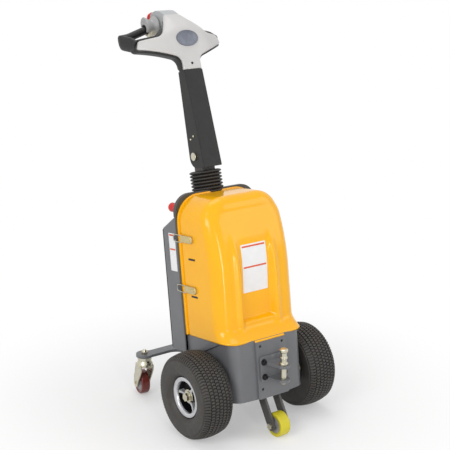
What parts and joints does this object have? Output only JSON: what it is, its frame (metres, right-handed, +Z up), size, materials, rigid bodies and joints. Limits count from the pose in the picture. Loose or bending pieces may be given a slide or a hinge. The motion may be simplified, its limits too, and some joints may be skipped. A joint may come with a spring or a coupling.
{
  "type": "electric tugger",
  "caption": "Upright battery tugger with a tilting tiller, two pneumatic drive wheels, a front support roller, rear swivel casters and a pin hitch.",
  "frame": {"origin": "on the floor, in the middle of the footprint's box", "axes": "+Z up, the hitch faces -Y, the operator stands at +Y, X runs along the drive axle"},
  "size_m": [0.512, 0.7079, 1.2475],
  "materials": {
    "grey_paint": "satin grey paint",
    "dark_paint": "satin dark grey paint",
    "column_paint": "satin dark olive paint",
    "zinc": "zinc plated",
    "latch_steel": "yellow passivated steel",
    "grey_plastic": "moulded",
    "yellow_urethane": "cast urethane",
    "maroon_urethane": "cast urethane",
    "cast_case": "painted casting",
    "battery_case": "moulded",
    "black_plastic": "fine grain",
    "red_plastic": "gloss",
    "yellow_shell": "satin gloss",
    "head_shell": "fine grain",
    "disc_metal": "satin",
    "paddle_plastic": "moulded",
    "black_rubber": "moulded",
    "tyre": "worn rubber",
    "rim_metal": "satin"
  },
  "bodies": {
    "chassis": {"chassis_tub": "grey_paint", "hitch_plate": "grey_paint", "hitch_clevis": "dark_paint", "roller_fork": "dark_paint", "roller_axle": "zinc", "transaxle": "cast_case", "battery_block": "battery_case", "bulkhead": "dark_paint", "rear_housing": "grey_paint", "rear_panel": "black_plastic", "dash_box": "dark_paint", "stop_button": "red_plastic", "key_switch": "zinc", "charge_gauge": "black_plastic", "front_cover": "yellow_shell", "latch_levers": "latch_steel", "latch_wires": "zinc", "tiller_post": "dark_paint", "bellows": "black_rubber", "caster_beam": "grey_paint", "caster_stems": "zinc"},
    "hitch_pin": {"hitch_pin": "zinc"},
    "front_roller": {"roller_core": "grey_plastic", "roller_tread": "yellow_urethane"},
    "left_wheel": {"left_tyre": "tyre", "left_rim": "rim_metal", "left_hub": "zinc"},
    "right_wheel": {"right_tyre": "tyre", "right_rim": "rim_metal", "right_hub": "zinc"},
    "tiller": {"tiller_column": "column_paint", "column_cover": "black_plastic", "tiller_pivot": "zinc", "head_base": "black_plastic", "head_cover": "head_shell", "head_disc": "disc_metal", "throttle_housing": "head_shell", "throttle_paddles": "paddle_plastic", "belly_button": "red_plastic", "hand_grips": "black_plastic"},
    "left_caster": {"left_caster_fork": "zinc"},
    "left_caster_wheel": {"left_caster_core": "grey_plastic", "left_caster_tread": "maroon_urethane"},
    "right_caster": {"right_caster_fork": "zinc"},
    "right_caster_wheel": {"right_caster_core": "grey_plastic", "right_caster_tread": "maroon_urethane"}
  },
  "joints": [
    {"name": "left_wheel_spin", "type": "hinge", "parent": "chassis", "child": "left_wheel", "pos_m": [-0.203, -0.16345, 0.135], "axis": [1, 0, 0], "continuous": true},
    {"name": "right_wheel_spin", "type": "hinge", "parent": "chassis", "child": "right_wheel", "pos_m": [0.203, -0.16345, 0.135], "axis": [1, 0, 0], "continuous": true},
    {"name": "front_roller_spin", "type": "hinge", "parent": "chassis", "child": "front_roller", "pos_m": [0, -0.31345, 0.038], "axis": [1, 0, 0], "continuous": true},
    {"name": "left_caster_swivel", "type": "hinge", "parent": "chassis", "child": "left_caster", "pos_m": [-0.175, 0.17355, 0.118], "axis": [0, 0, 1], "continuous": true},
    {"name": "left_caster_roll", "type": "hinge", "parent": "left_caster", "child": "left_caster_wheel", "pos_m": [-0.17014, 0.20112, 0.04], "axis": [0.9848, -0.1736, 0], "continuous": true},
    {"name": "right_caster_swivel", "type": "hinge", "parent": "chassis", "child": "right_caster", "pos_m": [0.175, 0.17355, 0.118], "axis": [0, 0, 1], "continuous": true},
    {"name": "right_caster_roll", "type": "hinge", "parent": "right_caster", "child": "right_caster_wheel", "pos_m": [0.17986, 0.20112, 0.04], "axis": [0.9848, -0.1736, 0], "continuous": true},
    {"name": "tiller_tilt", "type": "hinge", "parent": "chassis", "child": "tiller", "pos_m": [0, 0.08155, 0.809], "axis": [-1, 0, 0], "range_deg": [0, 50]},
    {"name": "hitch_pin_lift", "type": "slide", "parent": "chassis", "child": "hitch_pin", "axis": [0, 0, 1], "range_m": [0, 0.05]}
  ]
}
